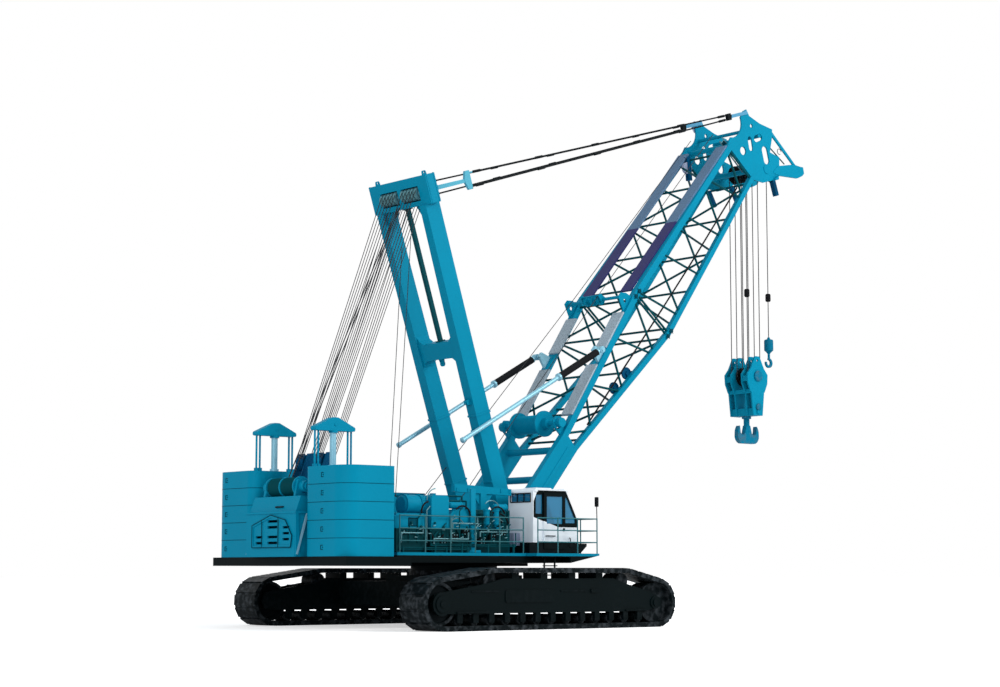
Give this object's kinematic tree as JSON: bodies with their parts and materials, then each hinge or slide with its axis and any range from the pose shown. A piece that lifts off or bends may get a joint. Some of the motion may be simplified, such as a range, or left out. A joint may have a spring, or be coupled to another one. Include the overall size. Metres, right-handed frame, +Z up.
{
  "type": "crawler crane",
  "caption": "Crawler crane with a lattice boom, a rear mast with pendants, twin counterweight stacks, an open deck, a side cab, a main hook block and an auxiliary hook.",
  "frame": {"origin": "bottom centre of the whole crane, on the ground", "axes": "+X forward along the boom, +Y to the crane's left, +Z up"},
  "size_m": [22.168, 9.58, 17.909],
  "materials": {
    "blue_paint": "satin",
    "black_paint": "satin",
    "track_steel": "worn",
    "bare_steel": "brushed",
    "engine_grey": "satin",
    "white_paint": "satin",
    "glass": "clear",
    "seat_fabric": "woven",
    "walkway_metal": "expanded",
    "wire_rope": "greased",
    "hook_paint": "satin"
  },
  "bodies": {
    "undercarriage": {"carbody": "black_paint", "slewing_bearing": "bare_steel", "track_frame_right": "black_paint", "track_frame_left": "black_paint", "track_belt_right": "track_steel", "track_belt_left": "track_steel", "track_sprockets": "track_steel", "track_idlers": "track_steel", "track_rollers": "track_steel"},
    "turntable": {"deck_frame": "black_paint", "foot_lugs": "black_paint", "foot_pins": "bare_steel", "counterweight_right": "blue_paint", "counterweight_left": "blue_paint", "counterweight_lifting_gear": "blue_paint", "rear_winch_frame": "blue_paint", "mast_hoist_drum": "blue_paint", "mast_hoist_sheaves": "blue_paint", "lifting_rods": "bare_steel", "cab_steps": "black_paint", "deck_beam": "blue_paint", "main_hoist_drums": "blue_paint", "engine_block": "engine_grey", "left_housing": "blue_paint", "right_housings": "blue_paint", "backstop_receivers": "blue_paint", "handrails": "white_paint", "cab_shell": "white_paint", "cab_glass": "glass", "operator_seat": "seat_fabric", "hydraulic_pipes": "black_paint"},
    "cab_door": {"cab_door": "white_paint", "cab_door_glass": "glass"},
    "boom": {"boom_foot_section": "blue_paint", "boom_top_section": "blue_paint", "boom_lacing": "blue_paint", "boom_foot_ties": "blue_paint", "boom_head": "blue_paint", "boom_head_sheaves": "track_steel", "boom_walkways": "walkway_metal", "boom_winch": "blue_paint", "backstops": "blue_paint", "boom_guide_rollers": "blue_paint", "boom_side_braces": "blue_paint", "backstop_sleeves": "black_paint", "boom_guide_sheaves": "blue_paint"},
    "mast": {"mast_frame": "blue_paint", "mast_head_lugs": "blue_paint", "mast_head_sheaves": "track_steel", "mast_guides": "blue_paint", "mast_stay": "blue_paint"},
    "pendants": {"pendants": "blue_paint"},
    "main_lines": {"main_falls": "wire_rope"},
    "main_block": {"hook_block": "blue_paint", "hook_block_sheaves": "track_steel"},
    "main_hook": {"main_hook": "hook_paint"},
    "aux_line": {"aux_line": "wire_rope"},
    "ball_hook": {"ball_hook": "hook_paint"}
  },
  "joints": [
    {"name": "slew", "type": "hinge", "parent": "undercarriage", "child": "turntable", "pos_m": [-4.23404, 0, 1.84], "axis": [0, 0, 1], "continuous": true},
    {"name": "boom_luff", "type": "hinge", "parent": "turntable", "child": "boom", "pos_m": [-2.73404, 0, 3.1], "axis": [0, -1, 0], "range_deg": [-20.5, 33.5]},
    {"name": "mast_raise", "type": "hinge", "parent": "turntable", "child": "mast", "pos_m": [-3.03404, 0, 3.4], "axis": [0, -1, 0], "range_deg": [-21.5, 35]},
    {"name": "pendant_turn", "type": "hinge", "parent": "mast", "child": "pendants", "pos_m": [-5.95323, 0, 13.35516], "axis": [0, -1, 0], "range_deg": [-1.8, 1.2]},
    {"name": "main_lines_hang", "type": "hinge", "parent": "boom", "child": "main_lines", "pos_m": [9.1117, 0, 15.89791], "axis": [0, -1, 0], "range_deg": [-34, 21]},
    {"name": "main_hoist", "type": "slide", "parent": "main_lines", "child": "main_block", "axis": [0, 0, 1], "range_m": [-1.1, 1.9], "deforming": ["main_falls"]},
    {"name": "main_hook_swivel", "type": "hinge", "parent": "main_block", "child": "main_hook", "pos_m": [9.1117, 0, 6.18], "axis": [0, 0, 1], "continuous": true},
    {"name": "aux_line_hang", "type": "hinge", "parent": "boom", "child": "aux_line", "pos_m": [10.57107, 0, 16.02067], "axis": [0, -1, 0], "range_deg": [-34, 21]},
    {"name": "aux_hoist", "type": "slide", "parent": "aux_line", "child": "ball_hook", "axis": [0, 0, 1], "range_m": [-1.2, 1.2], "deforming": ["aux_line"]},
    {"name": "door_slide", "type": "slide", "parent": "turntable", "child": "cab_door", "axis": [-1, 0, 0], "range_m": [0, 0.74]}
  ],
  "couplings": [
    {"joint": "mast_raise", "follows": "boom_luff", "ratio": 1.037},
    {"joint": "pendant_turn", "follows": "boom_luff", "ratio": -0.0476},
    {"joint": "main_lines_hang", "follows": "boom_luff", "ratio": -1},
    {"joint": "aux_line_hang", "follows": "boom_luff", "ratio": -1}
  ]
}
